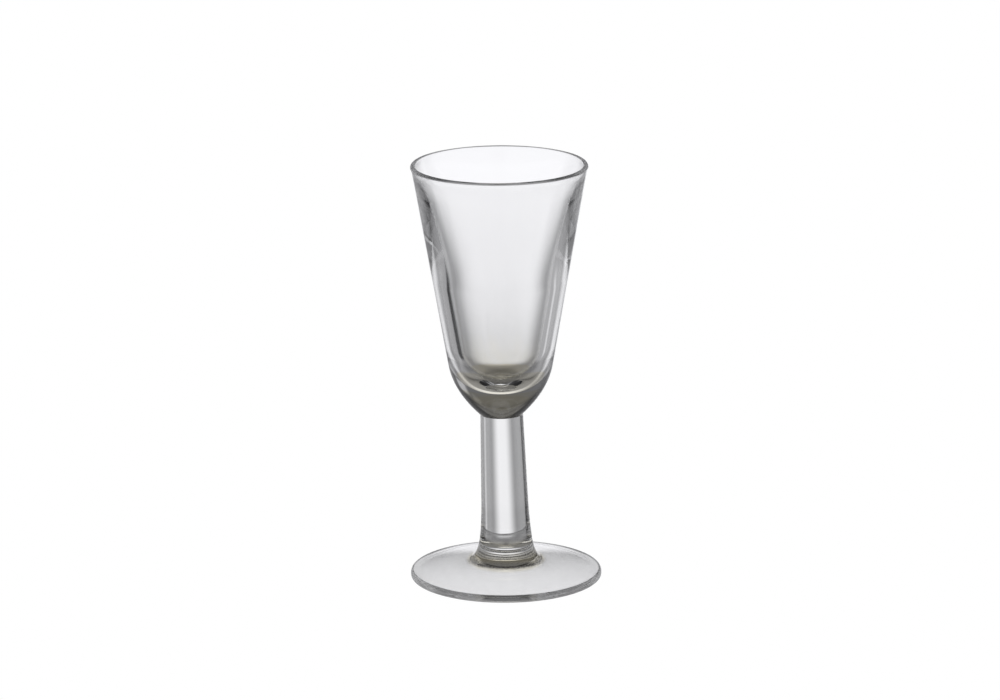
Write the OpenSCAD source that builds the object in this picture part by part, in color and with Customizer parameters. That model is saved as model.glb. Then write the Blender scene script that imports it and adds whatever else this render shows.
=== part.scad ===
// Cordial glass of clear glass, made as three pieces that are fused hot: bowl, solid stem and foot.
// The origin is the centre of the foot, on the surface that it stands on, and +Z runs up to the rim.
// The foot and the bowl stand upright, and the stem leans a little between them, as hand work does.

/* [Bowl] */
// Width across the rim
rim_d = 50.3; // [46:0.1:60]
// Thickness of the fire-rounded rim
rim_t = 1.56; // [1:0.02:2.4]
// Height of the bowl from the stem's top to the rim
bowl_h = 72.8; // [66:0.2:90]
// Height of the thin lip at the top of the wall
lip_h = 6.2; // [3:0.1:8]
// How far the rim stands out past the foot of the lip
lip_flare = 1.2; // [0.4:0.05:2]
// Thickness of the wall at the foot of the lip
lip_t = 1.8; // [1.2:0.05:3]
// Width where the round base meets the straight wall
shoulder_d = 29.8; // [27:0.2:36]
// Height of the round base
shoulder_h = 14.6; // [12:0.1:19]
// Steepness of the base where it meets the stem, in degrees
base_slope = 43.5; // [25:0.5:50]
// Thickness of the lower wall, measured level
wall_t = 4.45; // [2.5:0.05:6]
// Height above the stem where the wall starts to thin towards the lip
thin_h = 39; // [28:0.2:46]
// Thickness of the solid glass below the hollow
base_t = 9.2; // [6:0.1:13]
// Height of the round floor of the hollow
floor_round_h = 11; // [4:0.1:16]
// How far the bowl's axis stands beside the stem's top
bowl_shift = 0.2; // [0:0.1:1]

/* [Stem] */
// Height of the stem between the foot's neck and the bowl
stem_h = 35.6; // [20:0.2:60]
// Width of the stem under the bowl
stem_top_d = 12.2; // [9:0.1:16]
// Width of the stem above its flared end
stem_low_d = 13.4; // [10:0.1:16]
// Width of the stem where it meets the foot's neck
stem_base_d = 14.7; // [12:0.1:18]
// Height of the stem's flared end
stem_flare_h = 11; // [4:0.5:16]
// How far the stem leans towards -X, in degrees
stem_lean = 1.55; // [0:0.05:4]

/* [Foot] */
// Width across the foot
foot_d = 54.8; // [48:0.1:66]
// Height of the foot with its neck
foot_h = 12.6; // [10:0.2:18]
// Height of the foot's rounded edge
edge_h = 2.3; // [1.6:0.1:3.5]
// Height of the widest place of the edge
edge_mid_h = 1; // [0.6:0.1:1.5]
// How far the edge rounds in above
edge_top_in = 1.1; // [0.4:0.1:2]
// How far the edge rounds in below
edge_low_in = 1.2; // [0.4:0.1:2]
// Width across the foot where the flat cone starts to rise to the neck
dome_d = 21; // [18:0.5:34]
// Height of the flat cone there
dome_h = 5.3; // [4:0.1:7]
// How far the neck spreads below the stem
neck_spread = 0.75; // [0.2:0.05:2]
// Width of the flat ring that the foot stands on
rest_w = 1.1; // [0.6:0.1:3]
// Depth of the hollow under the foot
hollow_h = 3.2; // [0.4:0.1:4.5]

/* [Hidden] */
// Sides that each turned piece is drawn with
$fn = 128;
// Straight runs that each curve is drawn with
curve_runs = 10;
// Length that a piece runs past the plane that trims it
overrun = 1;
// Tint of thick clear glass
glass_tint = [0.80, 0.84, 0.82, 0.5];

rim_r = rim_d / 2;
bead_r = rim_t / 2;
lip_foot = [rim_r - lip_flare, bowl_h - lip_h];
shoulder = [shoulder_d / 2, shoulder_h];
seat = [stem_top_d / 2, 0];
foot_r = foot_d / 2;
stem_top_x = -stem_h * tan(stem_lean);
bowl_x = stem_top_x - bowl_shift;

// Where the hollow under the foot turns from its flat crown, as a share of its radius
crown_share = 0.35;
// Where the stem's flared end has its bend, as a share of its height
flare_share = 0.35;
// Where the wall's thinning has its bend, as a share of the way from its start to the lip
thinning_share = 0.25;
// Where the lip's outer curve has its bend, as a share of its height
lip_share = 0.85;

// Point at share t of the curve from a to c that bends towards b
function curve_point(a, b, c, t) = (1 - t) * (1 - t) * a + 2 * t * (1 - t) * b + t * t * c;
// Points of that curve after a, up to and with c
function curve(a, b, c) = [for (i = [1:curve_runs]) curve_point(a, b, c, i / curve_runs)];
// Radius at height z on the straight line through p and q
function line_r(p, q, z) = p[0] + (q[0] - p[0]) * (z - p[1]) / (q[1] - p[1]);
// Outer and inner radius of the bowl's wall at height z
function wall_r(z) = line_r(shoulder, lip_foot, z);
function hollow_r(z) = wall_r(z) - wall_t;
// Height where the base's slope from the seat would meet the wall's line
function base_corner_z() =
    let (wall_lean = (lip_foot[0] - shoulder[0]) / (lip_foot[1] - shoulder[1]))
    (wall_r(0) - seat[0]) / (1 / tan(base_slope) - wall_lean);

// Round base and straight wall, from the stem's top up to the foot of the lip
function bowl_outside() =
    let (corner_z = base_corner_z())
    concat([seat], curve(seat, [wall_r(corner_z), corner_z], shoulder), [lip_foot]);

// Lip that flares to the rim, then the rim's round top from outside to inside
function bowl_rim() =
    let (
        bead = [rim_r - bead_r, bowl_h - bead_r],
        bend_z = lip_foot[1] + (bead[1] - lip_foot[1]) * lip_share
    )
    concat(
        curve(lip_foot, [wall_r(bend_z), bend_z], bead + [bead_r, 0]),
        [for (i = [1:curve_runs]) bead + bead_r * [cos(180 * i / curve_runs), sin(180 * i / curve_runs)]]
    );

// Inside of the wall, from the foot of the lip down to the centre of the hollow's floor
function bowl_inside() =
    let (
        lip_inside = lip_foot - [lip_t, 0],
        bend_z = thin_h + (lip_foot[1] - thin_h) * thinning_share,
        floor_top_z = base_t + floor_round_h
    )
    concat(
        [lip_inside],
        curve(lip_inside, [hollow_r(bend_z), bend_z], [hollow_r(thin_h), thin_h]),
        [[hollow_r(floor_top_z), floor_top_z]],
        curve([hollow_r(floor_top_z), floor_top_z], [hollow_r(base_t), base_t], [0, base_t])
    );

// Flared end and straight taper of the stem, run past both ends to be trimmed level
function stem_outline() =
    let (
        base = [stem_base_d / 2, 0],
        low = [stem_low_d / 2, stem_flare_h],
        top = [stem_top_d / 2, stem_h],
        bend_z = stem_flare_h * flare_share
    )
    concat(
        [[0, -overrun], base - [0, overrun], base],
        curve(base, [line_r(low, top, bend_z), bend_z], low),
        [top, top + [0, overrun], [0, stem_h + overrun]]
    );

// Hollow underside, resting ring, rounded edge, flat cone and neck of the foot
function foot_outline() =
    let (
        rest_out = [foot_r - edge_low_in, 0],
        rest_in = rest_out - [rest_w, 0],
        edge_mid = [foot_r, edge_mid_h],
        edge_top = [foot_r - edge_top_in, edge_h],
        dome = [dome_d / 2, dome_h],
        neck = [stem_base_d / 2, foot_h],
        bend_r = neck[0] + neck_spread,
        bend_z = dome[1] + (dome[0] - bend_r) * (dome[1] - edge_top[1]) / (edge_top[0] - dome[0])
    )
    concat(
        [[0, hollow_h]],
        curve([0, hollow_h], [rest_in[0] * crown_share, hollow_h], rest_in),
        [rest_out],
        curve(rest_out, [foot_r, 0], edge_mid),
        curve(edge_mid, [foot_r, edge_h], edge_top),
        [dome],
        curve(dome, [bend_r, bend_z], neck),
        [[0, foot_h]]
    );

module bowl() {
    color(glass_tint)
    translate([bowl_x, 0, foot_h + stem_h])
    rotate_extrude()
    polygon(concat([[0, 0]], bowl_outside(), bowl_rim(), bowl_inside()));
}

module stem() {
    color(glass_tint)
    translate([0, 0, foot_h])
    intersection() {
        rotate([0, -stem_lean, 0])
        rotate_extrude()
        polygon(stem_outline());
        translate([-foot_r, -foot_r, 0])
        cube([foot_d, foot_d, stem_h]);
    }
}

module foot() {
    color(glass_tint)
    rotate_extrude()
    polygon(foot_outline());
}

bowl();
stem();
foot();
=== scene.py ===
import math

import bpy
import numpy as np
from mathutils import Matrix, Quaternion, Vector


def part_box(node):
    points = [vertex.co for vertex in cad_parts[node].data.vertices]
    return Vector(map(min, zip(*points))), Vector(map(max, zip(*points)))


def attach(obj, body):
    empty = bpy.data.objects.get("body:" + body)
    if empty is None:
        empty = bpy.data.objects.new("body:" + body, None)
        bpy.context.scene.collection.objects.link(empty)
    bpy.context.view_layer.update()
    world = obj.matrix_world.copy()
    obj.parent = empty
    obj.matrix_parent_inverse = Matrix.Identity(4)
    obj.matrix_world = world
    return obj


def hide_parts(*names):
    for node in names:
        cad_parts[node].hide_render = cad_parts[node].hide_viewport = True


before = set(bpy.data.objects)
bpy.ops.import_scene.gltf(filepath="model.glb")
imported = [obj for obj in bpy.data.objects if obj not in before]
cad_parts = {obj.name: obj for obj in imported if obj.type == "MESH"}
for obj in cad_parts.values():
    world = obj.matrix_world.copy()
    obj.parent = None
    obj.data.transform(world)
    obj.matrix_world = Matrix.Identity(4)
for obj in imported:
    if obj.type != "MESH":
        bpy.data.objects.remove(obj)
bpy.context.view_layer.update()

bl_info = {
    "name": "Cordial glass",
    "version": (1, 0, 0),
    "blender": (4, 5, 0),
    "location": "View3D > Sidebar > Glass",
    "description": "Turns the bowl, stem and foot of a small stemmed glass and sets them in a white studio",
    "category": "Object",
}

# Lengths below are typed in millimetres and kept in metres
MM = 0.001
BODY = "root"

# Sides of a turned piece, rows along a curve, and the widest step along a straight run
SIDES = 256
CURVE_ROWS = 28
ROW_STEP = 2 * MM
# Pieces that are fused stop this far short of each other, so that no two faces lie in one place
JOINT_GAP = 0.01 * MM
# A face is level if the upright part of its normal is above this. An edge with a wider turn is drawn sharp
LEVEL = 0.999
SHARP_ANGLE = math.radians(30)

# Bends of the outlines, the same as in the part's source: the lip's outer curve, as a share of its height
LIP_SHARE = 0.85
# The wall's thinning, as a share of the way from its start to the lip
THINNING_SHARE = 0.25
# The stem's flared end, as a share of its height
FLARE_SHARE = 0.35
# The hollow under the foot, as a share of its radius
CROWN_SHARE = 0.35

# Depth of the glass's tint is kept on the mesh as an attribute of this name, in millimetres: the glass's own
# depth, with painted shade added on the foot and where the bowl rounds into its floor
DEPTH = "depth_and_shade"
# Glass depth at which the middle and the deepest colour are met. Light goes to and fro in the bowl's solid
# base, so the base is tinted as the deepest glass
MIDDLE_DEPTH = 15 * MM
BASE_DEPTH = 30 * MM
# Painted shade: the bowl's wall is tinted darker where it rounds into the floor, though the glass is no
# thicker there. That fades in from this far above the hollow's floor, over this height, and adds this much
# depth to the tint inside and outside
ROUNDING_SHADE_TOP = 28 * MM
ROUNDING_SHADE_FADE = 23 * MM
ROUNDING_SHADE_INSIDE = 14 * MM
ROUNDING_SHADE_OUTSIDE = 5 * MM
# The foot stands in its own shadow, so its disc is tinted like glass this deep, and its thick middle like the
# base. The middle ends this far outside the neck's curve and this high up the neck, each with its own fade
FOOT_SHADOW_DEPTH = 12 * MM
MIDDLE_MARGIN = 1 * MM
MIDDLE_FADE = 2 * MM
MIDDLE_TOP = 10 * MM
MIDDLE_TOP_FADE = 3 * MM

# Index of refraction of soda-lime glass
GLASS_INDEX = 1.52
# Cords in the glass: their width, how much longer than wide they are, the range of the noise that they are
# drawn from, and how far they change the tint either way, as a share of it
CORD_WIDTH = 3 * MM
CORD_STRETCH = 10
CORD_LOW = 0.3
CORD_HIGH = 0.7
CORD_TINT = 0.1
# Light goes to and fro in the solid glass many times, and a path cut short leaves a dark spot
BOUNCES = 160


class CordialSizes(bpy.types.PropertyGroup):
    """Sizes of the glass that the frame's boxes don't give"""

    rim_t: bpy.props.FloatProperty(
        name="Rim thickness", description="Thickness of the fire-rounded rim",
        default=1.56 * MM, min=1 * MM, max=2.4 * MM, precision=5, unit="LENGTH")
    lip_h: bpy.props.FloatProperty(
        name="Lip height", description="Height of the thin lip at the top of the wall",
        default=6.2 * MM, min=3 * MM, max=8 * MM, precision=5, unit="LENGTH")
    lip_flare: bpy.props.FloatProperty(
        name="Lip flare", description="How far the rim stands out past the foot of the lip",
        default=1.2 * MM, min=0.4 * MM, max=2 * MM, precision=5, unit="LENGTH")
    lip_t: bpy.props.FloatProperty(
        name="Lip thickness", description="Thickness of the wall at the foot of the lip",
        default=1.8 * MM, min=1.2 * MM, max=3 * MM, precision=5, unit="LENGTH")
    shoulder_d: bpy.props.FloatProperty(
        name="Shoulder width", description="Width where the round base meets the straight wall",
        default=29.8 * MM, min=27 * MM, max=36 * MM, precision=5, unit="LENGTH")
    shoulder_h: bpy.props.FloatProperty(
        name="Shoulder height", description="Height of the round base",
        default=14.6 * MM, min=12 * MM, max=19 * MM, precision=5, unit="LENGTH")
    base_slope: bpy.props.FloatProperty(
        name="Base slope", description="Steepness of the base where it meets the stem",
        default=math.radians(43.5), min=math.radians(25), max=math.radians(50),
        subtype="ANGLE", unit="ROTATION")
    wall_t: bpy.props.FloatProperty(
        name="Wall thickness", description="Thickness of the lower wall, measured level",
        default=4.45 * MM, min=2.5 * MM, max=6 * MM, precision=5, unit="LENGTH")
    thin_h: bpy.props.FloatProperty(
        name="Thinning height",
        description="Height above the stem where the wall starts to thin towards the lip",
        default=39 * MM, min=28 * MM, max=46 * MM, precision=5, unit="LENGTH")
    base_t: bpy.props.FloatProperty(
        name="Base thickness", description="Thickness of the solid glass below the hollow",
        default=9.2 * MM, min=6 * MM, max=13 * MM, precision=5, unit="LENGTH")
    floor_round_h: bpy.props.FloatProperty(
        name="Floor round", description="Height of the round floor of the hollow",
        default=11 * MM, min=4 * MM, max=16 * MM, precision=5, unit="LENGTH")
    stem_top_d: bpy.props.FloatProperty(
        name="Stem top width", description="Width of the stem under the bowl",
        default=12.2 * MM, min=9 * MM, max=16 * MM, precision=5, unit="LENGTH")
    stem_low_d: bpy.props.FloatProperty(
        name="Stem width", description="Width of the stem above its flared end",
        default=13.4 * MM, min=10 * MM, max=16 * MM, precision=5, unit="LENGTH")
    stem_base_d: bpy.props.FloatProperty(
        name="Stem base width", description="Width of the stem where it meets the foot's neck",
        default=14.7 * MM, min=12 * MM, max=18 * MM, precision=5, unit="LENGTH")
    stem_flare_h: bpy.props.FloatProperty(
        name="Stem flare height", description="Height of the stem's flared end",
        default=11 * MM, min=4 * MM, max=16 * MM, precision=5, unit="LENGTH")
    stem_lean: bpy.props.FloatProperty(
        name="Stem lean", description="How far the stem leans towards -X",
        default=math.radians(1.55), min=0, max=math.radians(4),
        subtype="ANGLE", unit="ROTATION")
    edge_h: bpy.props.FloatProperty(
        name="Edge height", description="Height of the foot's rounded edge",
        default=2.3 * MM, min=1.6 * MM, max=3.5 * MM, precision=5, unit="LENGTH")
    edge_mid_h: bpy.props.FloatProperty(
        name="Edge middle", description="Height of the widest place of the edge",
        default=1 * MM, min=0.6 * MM, max=1.5 * MM, precision=5, unit="LENGTH")
    edge_top_in: bpy.props.FloatProperty(
        name="Edge top round", description="How far the edge rounds in above",
        default=1.1 * MM, min=0.4 * MM, max=2 * MM, precision=5, unit="LENGTH")
    edge_low_in: bpy.props.FloatProperty(
        name="Edge lower round", description="How far the edge rounds in below",
        default=1.2 * MM, min=0.4 * MM, max=2 * MM, precision=5, unit="LENGTH")
    dome_d: bpy.props.FloatProperty(
        name="Dome width", description="Width across the foot where the flat cone starts to rise to the neck",
        default=21 * MM, min=18 * MM, max=34 * MM, precision=5, unit="LENGTH")
    dome_h: bpy.props.FloatProperty(
        name="Dome height", description="Height of the flat cone there",
        default=5.3 * MM, min=4 * MM, max=7 * MM, precision=5, unit="LENGTH")
    neck_spread: bpy.props.FloatProperty(
        name="Neck spread", description="How far the neck spreads below the stem",
        default=0.75 * MM, min=0.2 * MM, max=2 * MM, precision=5, unit="LENGTH")
    rest_w: bpy.props.FloatProperty(
        name="Resting ring", description="Width of the flat ring that the foot stands on",
        default=1.1 * MM, min=0.6 * MM, max=3 * MM, precision=5, unit="LENGTH")
    hollow_h: bpy.props.FloatProperty(
        name="Hollow depth", description="Depth of the hollow under the foot",
        default=3.2 * MM, min=0.4 * MM, max=4.5 * MM, precision=5, unit="LENGTH")


def colour_prop(name, description, default):
    """A colour of the picker kind, given as linear red, green and blue"""
    return bpy.props.FloatVectorProperty(
        name=name, description=description, default=default, size=3, min=0, max=1, subtype="COLOR")


def linear(code):
    """Linear red, green and blue of an sRGB hex colour such as #F2F3EF, by the sRGB curve"""
    parts = np.array([int(code[i:i + 2], 16) for i in (1, 3, 5)]) / 255
    return tuple(np.where(parts <= 0.04045, parts / 12.92, ((parts + 0.055) / 1.055) ** 2.4))


class CordialColours(bpy.types.PropertyGroup):
    """Colours of the glass and of the studio"""

    thin_glass: colour_prop(
        "Thin glass", "What the thin lip lets through", linear("#FFFFFF"))
    middle_glass: colour_prop(
        "Middle glass", "What glass as deep as the stem's width lets through", linear("#E9E9E8"))
    deep_glass: colour_prop(
        "Deep glass", "What the solid base of the bowl lets through", linear("#E9E2CB"))
    studio_light: colour_prop(
        "Studio light", "Colour of the soft boxes", linear("#FCFCFF"))
    backdrop: colour_prop(
        "Backdrop", "Floor and backdrop as the camera sees them", linear("#FFFFFF"))


def bend(start, corner, end, rows=CURVE_ROWS):
    """Points of a curve from start to end that leaves towards the corner and arrives from it:
    the sum of (1-t)^2 start, 2t(1-t) corner and t^2 end for t from 0 to 1."""
    t = np.linspace(0, 1, rows + 1)[:, None]
    return (1 - t) ** 2 * np.array(start) + 2 * t * (1 - t) * np.array(corner) + t ** 2 * np.array(end)


def straight(start, end):
    """Points of a straight run from start to end, in equal steps of ROW_STEP at most"""
    start, end = np.array(start, float), np.array(end, float)
    rows = max(1, math.ceil(np.linalg.norm(end - start) / ROW_STEP))
    return start + (end - start) * np.linspace(0, 1, rows + 1)[:, None]


def joined(*runs):
    """One outline of runs that each start where the last one ended"""
    return np.vstack([runs[0]] + [run[1:] for run in runs[1:]])


def ease(x):
    """Smooth step from 0 to 1 as x goes from 0 to 1"""
    x = np.clip(x, 0, 1)
    return x * x * (3 - 2 * x)


def line_r(p, q, z):
    """Radius at height z on the straight line through p and q"""
    return p[0] + (q[0] - p[0]) * (z - p[1]) / (q[1] - p[1])


def spun(name, outline, depth, middle=(0, 0), lean=0.0):
    """Closed mesh of an outline that starts and ends on its axis, turned once round.
    The point at row u of the outline and angle v is (r(u) cos v, r(u) sin v, z(u)). A lean slides each
    level ring along X by tan(lean) times its height and widens it by 1/cos(lean), as a leaning rod that
    is cut level. Depth gives each row's depth of tint in millimetres, the glass's depth with any painted
    shade that the caller adds, and middle is the axis's place."""
    rings, ends = outline[1:-1], outline[[0, -1]]
    angle = np.arange(SIDES) * 2 * math.pi / SIDES
    x = rings[:, :1] * np.cos(angle) / math.cos(lean) - (rings[:, 1:] - outline[0, 1]) * math.tan(lean)
    y = rings[:, :1] * np.sin(angle)
    z = np.repeat(rings[:, 1:], SIDES, axis=1)
    poles = np.stack([-(ends[:, 1] - outline[0, 1]) * math.tan(lean), [0, 0], ends[:, 1]], axis=1)
    places = np.vstack([np.stack([x, y, z], axis=2).reshape(-1, 3), poles])
    places[:, :2] += middle

    here = np.arange(SIDES)
    after = np.roll(here, -1)
    start = np.arange(len(rings) - 1)[:, None] * SIDES
    quads = np.stack([start + here, start + after, start + SIDES + after, start + SIDES + here], axis=2)
    last = (len(rings) - 1) * SIDES
    first_pole = len(rings) * SIDES
    fans = np.stack([np.full(SIDES, first_pole), after, here], axis=1)
    fans = np.vstack([fans, np.stack([last + here, last + after, np.full(SIDES, first_pole + 1)], axis=1)])

    mesh = bpy.data.meshes.new(name)
    mesh.from_pydata(places, [], quads.reshape(-1, 4).tolist() + fans.tolist())
    mesh.validate()
    values = np.concatenate([np.repeat(depth[1:-1], SIDES), depth[[0, -1]]])
    mesh.attributes.new(DEPTH, "FLOAT", "POINT").data.foreach_set("value", values.astype(np.float32))
    mesh.polygons.foreach_set("use_smooth", np.ones(len(mesh.polygons), bool))
    return mesh


def bowl_outline(sizes, rim_r, height):
    """Outline of the bowl from the middle of its seat, up the outside, over the rim and down to the
    hollow's floor: curves and straight runs, with half a circle as the rim"""
    lip_foot = (rim_r - sizes.lip_flare, height - sizes.lip_h)
    shoulder = (sizes.shoulder_d / 2, sizes.shoulder_h)
    seat = (sizes.stem_top_d / 2, JOINT_GAP / 2)
    wall_lean = (lip_foot[0] - shoulder[0]) / (lip_foot[1] - shoulder[1])

    def wall_r(z):
        return line_r(shoulder, lip_foot, z)

    def hollow_r(z):
        return wall_r(z) - sizes.wall_t

    corner_z = (wall_r(0) - seat[0]) / (1 / math.tan(sizes.base_slope) - wall_lean)
    bead_r = sizes.rim_t / 2
    bead = np.array([rim_r - bead_r, height - bead_r])
    # The lip bends outwards near its top
    lip_bend_z = lip_foot[1] + (bead[1] - lip_foot[1]) * LIP_SHARE
    lip_inside = (lip_foot[0] - sizes.lip_t, lip_foot[1])
    # The wall starts to thin gently and then evenly
    thin_bend_z = sizes.thin_h + (lip_foot[1] - sizes.thin_h) * THINNING_SHARE
    floor_top_z = sizes.base_t + sizes.floor_round_h
    turn = np.linspace(0, math.pi, CURVE_ROWS + 1)[:, None]
    rim = bead + bead_r * np.hstack([np.cos(turn), np.sin(turn)])
    return joined(
        np.array([(0, seat[1]), seat]),
        bend(seat, (wall_r(corner_z), corner_z), shoulder),
        straight(shoulder, lip_foot),
        bend(lip_foot, (wall_r(lip_bend_z), lip_bend_z), bead + [bead_r, 0]),
        rim,
        straight(rim[-1], lip_inside),
        bend(lip_inside, (hollow_r(thin_bend_z), thin_bend_z), (hollow_r(sizes.thin_h), sizes.thin_h)),
        straight((hollow_r(sizes.thin_h), sizes.thin_h), (hollow_r(floor_top_z), floor_top_z)),
        bend((hollow_r(floor_top_z), floor_top_z), (hollow_r(sizes.base_t), sizes.base_t), (0, sizes.base_t)),
    )


def bowl_depth_and_shade(sizes, outline):
    """Depth of tint in millimetres at each row of the bowl's outline: the deepest in the solid base, the
    wall's thickness above it, and painted shade as more depth where the wall rounds into the floor, most of
    all inside"""
    radius, height = outline.T
    top = np.argmax(height)
    inner_r = np.interp(height, height[:top:-1], radius[:top:-1])
    outer_r = np.interp(height, height[:top], radius[:top])
    inside = np.arange(len(outline)) > top
    depth = np.where(height < sizes.base_t, BASE_DEPTH, outer_r - inner_r)
    # Painted shade: more tint depth where the wall rounds into the hollow's floor
    rounding_shade = ease((sizes.base_t + ROUNDING_SHADE_TOP - height) / ROUNDING_SHADE_FADE)
    return (depth + np.where(inside, ROUNDING_SHADE_INSIDE, ROUNDING_SHADE_OUTSIDE) * rounding_shade) / MM


def stem_outline(sizes, height):
    """Outline of the stem from the middle of its lower end, up the curve of its flared end and its straight
    taper, to the middle of its top"""
    base = (sizes.stem_base_d / 2, JOINT_GAP / 2)
    low = (sizes.stem_low_d / 2, sizes.stem_flare_h)
    top = (sizes.stem_top_d / 2, height - JOINT_GAP / 2)
    bend_z = sizes.stem_flare_h * FLARE_SHARE
    return joined(
        np.array([(0, base[1]), base]),
        bend(base, (line_r(low, top, bend_z), bend_z), low),
        straight(low, top),
        np.array([top, (0, top[1])]),
    )


def stem_depth(outline):
    """Glass depth in millimetres at each row of the stem's outline: its width there"""
    return outline[:, 0] * 2 / MM


def foot_outline(sizes, foot_r, height):
    """Outline of the foot from the middle of its underside, over the resting ring, round its edge, up the
    flat cone and the neck's curve, to the middle of its top"""
    rest_out = (foot_r - sizes.edge_low_in, 0)
    rest_in = (rest_out[0] - sizes.rest_w, 0)
    edge_mid = (foot_r, sizes.edge_mid_h)
    edge_top = (foot_r - sizes.edge_top_in, sizes.edge_h)
    dome = (sizes.dome_d / 2, sizes.dome_h)
    neck = (sizes.stem_base_d / 2, height - JOINT_GAP / 2)
    bend_r = neck[0] + sizes.neck_spread
    bend_z = dome[1] + (dome[0] - bend_r) * (dome[1] - edge_top[1]) / (edge_top[0] - dome[0])
    return joined(
        bend((0, sizes.hollow_h), (rest_in[0] * CROWN_SHARE, sizes.hollow_h), rest_in),
        straight(rest_in, rest_out),
        bend(rest_out, (foot_r, 0), edge_mid),
        bend(edge_mid, (foot_r, sizes.edge_h), edge_top),
        straight(edge_top, dome),
        bend(dome, (bend_r, bend_z), neck),
        np.array([neck, (0, neck[1])]),
    )


def foot_shadow_and_depth(sizes, outline):
    """Depth of tint in millimetres at each row of the foot's outline: even in the disc, where it is painted
    shadow, and the deepest in the thick middle below the neck"""
    radius, height = outline.T
    within = ease((sizes.dome_d / 2 + MIDDLE_MARGIN - radius) / MIDDLE_FADE)
    below = ease((MIDDLE_TOP - height) / MIDDLE_TOP_FADE)
    # Painted shadow: the thin disc is tinted like glass FOOT_SHADOW_DEPTH deep, for the shadow the foot
    # stands in
    return (FOOT_SHADOW_DEPTH + within * below * (BASE_DEPTH - FOOT_SHADOW_DEPTH)) / MM


def add_node(tree, kind, inputs=(), **settings):
    """Adds a node with its settings. Inputs are pairs of a socket's name or number and either a value or
    a socket to link."""
    node = tree.nodes.new(kind)
    for name, value in settings.items():
        setattr(node, name, value)
    for name, value in inputs:
        if isinstance(value, bpy.types.NodeSocket):
            tree.links.new(value, node.inputs[name])
        else:
            node.inputs[name].default_value = value
    return node


def new_material(name):
    """An empty node material and its tree"""
    material = bpy.data.materials.new(name)
    material.use_nodes = True
    material.node_tree.nodes.clear()
    return material, material.node_tree


def soda_lime_glass(colours):
    """Soda-lime glass, pressed and fire-polished: clear and smooth, with a grey-olive tint that deepens
    with the glass and that also paints shade on the foot and where the bowl rounds into its floor, and
    faint upright cords where the melt was mixed less well."""
    material, tree = new_material("Soda-lime glass, fire-polished")
    # The depth attribute holds glass depth and painted shade, both turned into tint below
    depth = add_node(tree, "ShaderNodeAttribute", attribute_name=DEPTH)
    place = add_node(tree, "ShaderNodeTexCoord")
    stretched = add_node(tree, "ShaderNodeMapping", [
        ("Vector", place.outputs["Object"]), ("Scale", (1, 1, 1 / CORD_STRETCH))])
    cords = add_node(tree, "ShaderNodeTexNoise", [
        ("Vector", stretched.outputs["Vector"]), ("Scale", 1 / CORD_WIDTH),
        ("Detail", 2.0), ("Roughness", 0.5)])
    share = add_node(tree, "ShaderNodeMapRange", [
        ("Value", depth.outputs["Fac"]), ("From Max", BASE_DEPTH / MM), ("To Max", 1.0)])
    uneven = add_node(tree, "ShaderNodeMapRange", [
        ("Value", cords.outputs["Fac"]), ("From Min", CORD_LOW), ("From Max", CORD_HIGH),
        ("To Min", 1 - CORD_TINT), ("To Max", 1 + CORD_TINT)])
    mixed = add_node(tree, "ShaderNodeMath", [(0, share.outputs["Result"]), (1, uneven.outputs["Result"])],
                     operation="MULTIPLY", use_clamp=True)
    tint = add_node(tree, "ShaderNodeValToRGB", [("Fac", mixed.outputs["Value"])])
    stops = tint.color_ramp.elements
    stops[0].color = (*colours.thin_glass, 1)
    stops[1].color = (*colours.deep_glass, 1)
    stops.new(MIDDLE_DEPTH / BASE_DEPTH).color = (*colours.middle_glass, 1)
    glass = add_node(tree, "ShaderNodeBsdfPrincipled", [
        ("Base Color", tint.outputs["Color"]), ("Roughness", 0.0), ("IOR", GLASS_INDEX),
        ("Transmission Weight", 1.0)])
    add_node(tree, "ShaderNodeOutputMaterial", [("Surface", glass.outputs["BSDF"])])
    return material


def fused_joint():
    """Hot-fused joint of glass to glass: nothing changes there for the light, so it passes straight on."""
    material, tree = new_material("Fused joint")
    clear = add_node(tree, "ShaderNodeBsdfTransparent")
    add_node(tree, "ShaderNodeOutputMaterial", [("Surface", clear.outputs["BSDF"])])
    return material


def shared_material(name, make, *values):
    """The material of that name, made once and shared by the pieces"""
    return bpy.data.materials.get(name) or make(*values)


def place_piece(node, mesh, colours):
    """Puts a turned mesh in the scene for its CAD node, with glass on the outside and clear fused ends"""
    mesh.materials.append(shared_material("Soda-lime glass, fire-polished", soda_lime_glass, colours))
    mesh.materials.append(shared_material("Fused joint", fused_joint))
    stem_low, stem_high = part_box("stem")
    normals = np.zeros(len(mesh.polygons) * 3)
    centres = np.zeros(len(mesh.polygons) * 3)
    mesh.polygons.foreach_get("normal", normals)
    mesh.polygons.foreach_get("center", centres)
    level = np.abs(normals[2::3]) > LEVEL
    heights = centres[2::3]
    at_joint = np.minimum(np.abs(heights - stem_low.z), np.abs(heights - stem_high.z)) < JOINT_GAP
    mesh.polygons.foreach_set("material_index", (level & at_joint).astype(np.int32))
    mesh.set_sharp_from_angle(angle=SHARP_ANGLE)
    piece = bpy.data.objects.new("glass_" + node, mesh)
    bpy.context.scene.collection.objects.link(piece)
    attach(piece, BODY)
    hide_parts(node)


class CORDIAL_OT_bowl(bpy.types.Operator):
    """Turn the bowl, with its solid base, wall, thin lip and round rim"""

    bl_idname = "cordial.bowl"
    bl_label = "Bowl"

    def execute(self, context):
        sizes = context.scene.cordial_sizes
        low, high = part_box("bowl")
        outline = bowl_outline(sizes, (high.y - low.y) / 2, high.z - low.z)
        middle = ((low.x + high.x) / 2, 0)
        mesh = spun("glass_bowl", outline + [0, low.z], bowl_depth_and_shade(sizes, outline), middle)
        place_piece("bowl", mesh, context.scene.cordial_colours)
        return {"FINISHED"}


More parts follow.
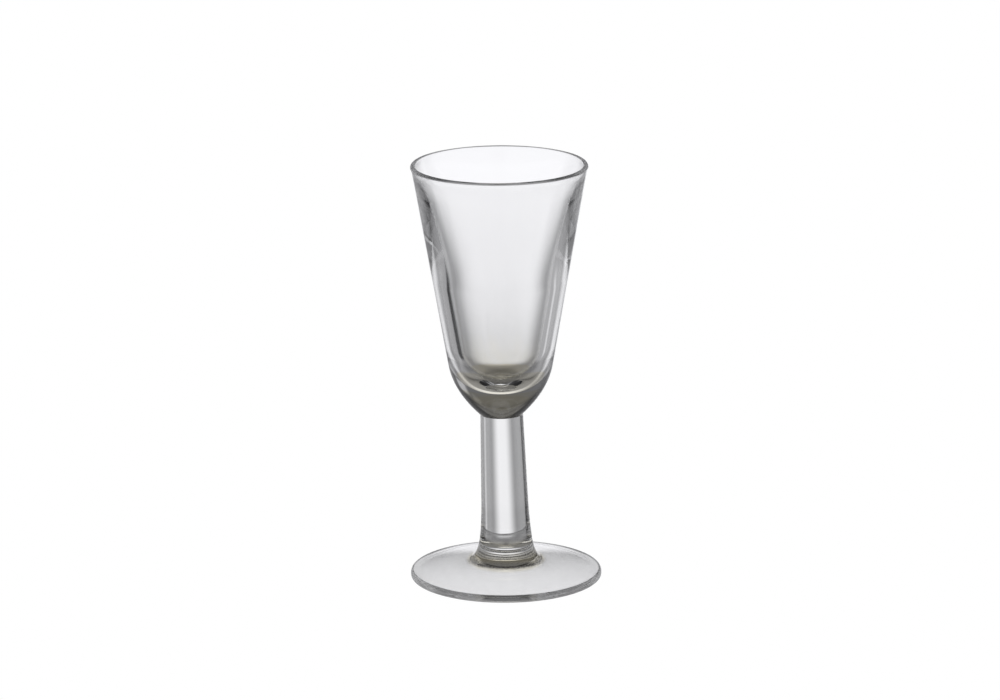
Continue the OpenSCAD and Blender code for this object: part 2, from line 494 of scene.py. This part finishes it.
class CORDIAL_OT_stem(bpy.types.Operator):
    """Turn the solid stem, with its flared end, taper and lean"""

    bl_idname = "cordial.stem"
    bl_label = "Stem"

    def execute(self, context):
        sizes = context.scene.cordial_sizes
        low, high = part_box("stem")
        outline = stem_outline(sizes, high.z - low.z)
        mesh = spun("glass_stem", outline + [0, low.z], stem_depth(outline), lean=sizes.stem_lean)
        place_piece("stem", mesh, context.scene.cordial_colours)
        return {"FINISHED"}


class CORDIAL_OT_foot(bpy.types.Operator):
    """Turn the foot, with its hollow, resting ring, round edge, flat cone and neck"""

    bl_idname = "cordial.foot"
    bl_label = "Foot"

    def execute(self, context):
        sizes = context.scene.cordial_sizes
        low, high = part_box("foot")
        outline = foot_outline(sizes, (high.y - low.y) / 2, high.z)
        mesh = spun("glass_foot", outline, foot_shadow_and_depth(sizes, outline))
        place_piece("foot", mesh, context.scene.cordial_colours)
        return {"FINISHED"}


# Camera of the photograph: a long lens well above the rim that looks down, for a picture 1000 by 700. The
# lens and the sensor are in Blender's own millimetres
LENS = 181.33
SENSOR = 36
CLIP_END = 100000 * MM
CAMERA_PLACE = (-1.317 * MM, -1384.3 * MM, 430.6 * MM)
CAMERA_DOWN = math.radians(14.722)
CAMERA_ROLL = math.radians(-0.424)

# The floor's width, and how far it lies below the foot
FLOOR_SPAN = 12000 * MM
FLOOR_DROP = 0.3 * MM
# The surround's radius, the degrees from one point to the next, and the attribute that holds its light
SURROUND_R = 3000 * MM
SURROUND_STEP = 1.0
GLOW = "glow"

# Plain brightness of the studio where no box or flag is, as a share of the white behind the glass
ROOM_GLOW = 0.015
# Soft boxes and flags of the studio, laid over each other in this order: azimuth of the middle from straight
# behind the glass and its elevation, half the width and height, the widths of the soft edges at the sides and
# at the top and bottom, all in degrees, and the brightness
SOFT_BOXES = (
    ("dim floor", 0, -90, 200, 52, 10, 14, 0.2),
    ("bright floor straight below", 0, -90, 200, 14, 10, 8, 0.85),
    ("white wall on the camera's side", 180, -12.5, 106, 17, 16, 10, 0.8),
    ("grey sweep on the floor", 0, -40, 34, 16, 30, 14, 0.36),
    ("dark strip on the floor", 0, -46, 5, 10, 10, 12, 0.18),
    ("dark ceiling", 0, 24, 50, 14, 30, 14, 0.17),
    ("overhead box", 0, 56, 60, 18, 40, 14, 0.17),
    ("grey wall behind", 0, -14, 34, 18, 16, 12, 0.33),
    ("right wall", 50, -19, 24, 20, 14, 12, 0.42),
    ("right strip light", 45, -14, 3.5, 14, 5, 10, 0.75),
    ("high right strip light", 47, 20, 8, 8, 8, 8, 0.6),
    ("left wall", -50, -19, 24, 20, 14, 12, 0.4),
    ("left dark flag", -63, -20, 13, 14, 6, 12, 0.02),
    ("white sweep behind the glass", 1.5, -12.5, 14, 16.5, 18, 9, 1.07),
    ("left side wall", -117, 15, 52, 10, 12, 10, 0.18),
    ("right side wall", 117, 15, 52, 10, 12, 10, 0.18),
)


def place_camera():
    """Sets the camera at the photograph's angle"""
    data = bpy.data.cameras.new("camera")
    data.sensor_width = SENSOR
    data.lens = LENS
    data.clip_end = CLIP_END
    camera = bpy.data.objects.new("camera", data)
    look = Vector((0, math.cos(CAMERA_DOWN), -math.sin(CAMERA_DOWN)))
    camera.rotation_mode = "QUATERNION"
    camera.rotation_quaternion = look.to_track_quat("-Z", "Y") @ Quaternion((0, 0, 1), CAMERA_ROLL)
    camera.location = CAMERA_PLACE
    bpy.context.scene.collection.objects.link(camera)
    bpy.context.scene.camera = camera


def glowing(name, attribute_or_colour):
    """A material that only gives light, in one colour or in the colours of a mesh attribute"""
    material, tree = new_material(name)
    if isinstance(attribute_or_colour, str):
        colour = add_node(tree, "ShaderNodeAttribute", attribute_name=attribute_or_colour).outputs["Color"]
    else:
        colour = (*attribute_or_colour, 1)
    light = add_node(tree, "ShaderNodeEmission", [("Color", colour), ("Strength", 1.0)])
    add_node(tree, "ShaderNodeOutputMaterial", [("Surface", light.outputs["Emission"])])
    material.cycles.emission_sampling = "NONE"
    return material


def studio_glow(azimuth, elevation):
    """Brightness of the studio in each direction: the room's, then each box laid over it in turn. A box's
    cover is the smooth step of (its half width less the way from its middle) over its soft edge plus a half,
    times the same for its height."""
    glow = np.full(azimuth.shape, ROOM_GLOW)
    for _, box_az, box_el, half_az, half_el, soft_az, soft_el, brightness in SOFT_BOXES:
        off_az = np.abs((azimuth - box_az + 180) % 360 - 180)
        off_el = np.abs(elevation - box_el)
        cover = ease((half_az - off_az) / soft_az + 0.5) * ease((half_el - off_el) / soft_el + 0.5)
        glow = glow * (1 - cover) + brightness * cover
    return glow


def make_floor(colour):
    """White floor, seen only by the camera, because the glass shows the studio around it"""
    half = FLOOR_SPAN / 2
    corners = [(x * half, y * half, -FLOOR_DROP) for x, y in ((-1, -1), (1, -1), (1, 1), (-1, 1))]
    mesh = bpy.data.meshes.new("floor")
    mesh.from_pydata(corners, [], [(0, 1, 2, 3)])
    mesh.materials.append(glowing("White floor", colour))
    floor = bpy.data.objects.new("floor", mesh)
    bpy.context.scene.collection.objects.link(floor)
    floor.visible_diffuse = floor.visible_glossy = False
    floor.visible_transmission = floor.visible_shadow = False


def make_surround(colour):
    """Sphere round the glass whose light the glass bends and mirrors. The point at azimuth a and elevation e
    is the radius times (sin a cos e, cos a cos e, sin e), and its light follows studio_glow."""
    azimuth = np.arange(0, 360, SURROUND_STEP)
    elevation = np.arange(-90 + SURROUND_STEP, 90, SURROUND_STEP)
    a, e = np.meshgrid(np.radians(azimuth), np.radians(elevation))
    places = np.stack([np.sin(a) * np.cos(e), np.cos(a) * np.cos(e), np.sin(e)], axis=2)
    places = places.reshape(-1, 3) * SURROUND_R
    here = np.arange(len(azimuth))
    after = np.roll(here, -1)
    start = np.arange(len(elevation) - 1)[:, None] * len(azimuth)
    above = start + len(azimuth)
    quads = np.stack([start + here, above + here, above + after, start + after], axis=2)
    mesh = bpy.data.meshes.new("surround")
    mesh.from_pydata(places, [], quads.reshape(-1, 4).tolist())
    glow = studio_glow(np.degrees(a), np.degrees(e)).reshape(-1, 1)
    colours = np.hstack([glow * np.array(colour), np.ones((len(places), 1))])
    mesh.attributes.new(GLOW, "FLOAT_COLOR", "POINT").data.foreach_set("color", colours.ravel())
    mesh.materials.append(glowing("Studio light", GLOW))
    surround = bpy.data.objects.new("surround", mesh)
    bpy.context.scene.collection.objects.link(surround)
    surround.visible_camera = surround.visible_shadow = False


def set_world(colour):
    """White above the floor's far edge"""
    world = bpy.data.worlds.new("White backdrop")
    world.use_nodes = True
    world.node_tree.nodes["Background"].inputs["Color"].default_value = (*colour, 1)
    bpy.context.scene.world = world


class CORDIAL_OT_stage(bpy.types.Operator):
    """Set the floor, the studio's surround and the camera"""

    bl_idname = "cordial.stage"
    bl_label = "Stage"

    def execute(self, context):
        colours = context.scene.cordial_colours
        place_camera()
        set_world(colours.backdrop)
        make_floor(colours.backdrop)
        make_surround(colours.studio_light)
        return {"FINISHED"}


class CORDIAL_PT_glass(bpy.types.Panel):
    """Lists the steps and their values"""

    bl_label = "Cordial glass"
    bl_space_type = "VIEW_3D"
    bl_region_type = "UI"
    bl_category = "Glass"

    def draw(self, context):
        for group in (context.scene.cordial_sizes, context.scene.cordial_colours):
            for name in group.bl_rna.properties.keys():
                if name in type(group).__annotations__:
                    self.layout.prop(group, name)
        for step in ("cordial.bowl", "cordial.stem", "cordial.foot", "cordial.stage"):
            self.layout.operator(step)


CLASSES = (
    CordialSizes, CordialColours, CORDIAL_OT_bowl, CORDIAL_OT_stem, CORDIAL_OT_foot, CORDIAL_OT_stage,
    CORDIAL_PT_glass)


def register():
    for kind in CLASSES:
        bpy.utils.register_class(kind)
    bpy.types.Scene.cordial_sizes = bpy.props.PointerProperty(type=CordialSizes)
    bpy.types.Scene.cordial_colours = bpy.props.PointerProperty(type=CordialColours)


def unregister():
    del bpy.types.Scene.cordial_colours
    del bpy.types.Scene.cordial_sizes
    for kind in reversed(CLASSES):
        bpy.utils.unregister_class(kind)


def main():
    register()
    bpy.ops.cordial.bowl()
    bpy.ops.cordial.stem()
    bpy.ops.cordial.foot()
    bpy.ops.cordial.stage()
    scene = bpy.context.scene
    scene.view_settings.view_transform = "Standard"
    scene.cycles.max_bounces = BOUNCES
    scene.cycles.transmission_bounces = BOUNCES
    scene.cycles.glossy_bounces = BOUNCES


if __name__ == "__main__":
    main()
